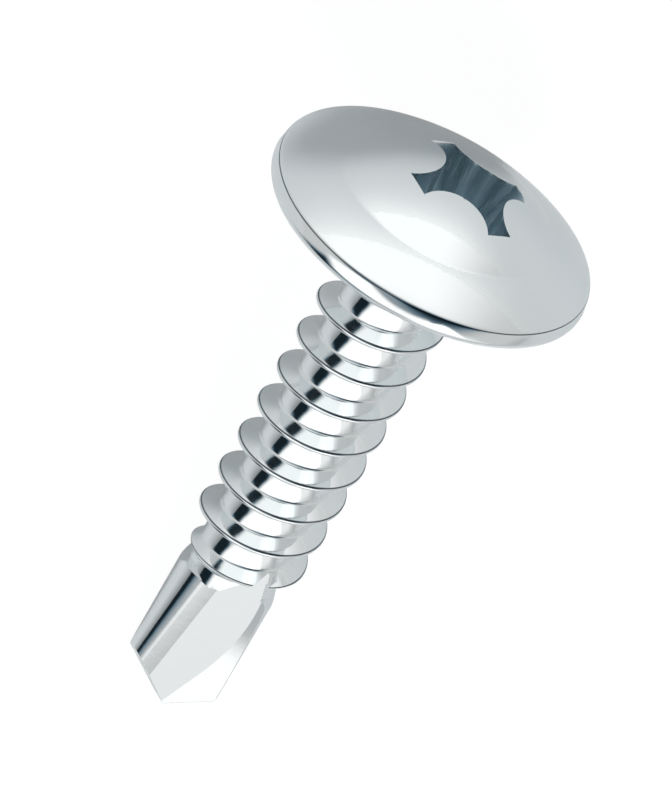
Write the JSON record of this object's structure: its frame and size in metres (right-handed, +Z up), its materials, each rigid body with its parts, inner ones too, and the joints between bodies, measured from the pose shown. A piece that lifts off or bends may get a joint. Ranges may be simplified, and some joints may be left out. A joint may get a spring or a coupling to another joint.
{
  "type": "self-drilling screw",
  "caption": "Zinc-plated steel self-drilling screw with a wide low-domed flanged head, cross recess, coarse sharp thread and fluted drill point, lying on its side.",
  "frame": {"origin": "centre of the bottom of the bounding box, on the surface that the screw lies on", "axes": "+Z up from that surface; +X along the length of the lying screw, from the drill point to the head; the screw's own axis rises 14.1 degrees towards the head in the XZ plane"},
  "size_m": [0.0214, 0.0104, 0.0102],
  "materials": {
    "zinc_plated_steel": "bright zinc plating, polished, on carbon steel"
  },
  "bodies": {
    "root": {"self_drilling_screw": "zinc_plated_steel"}
  },
  "joints": []
}
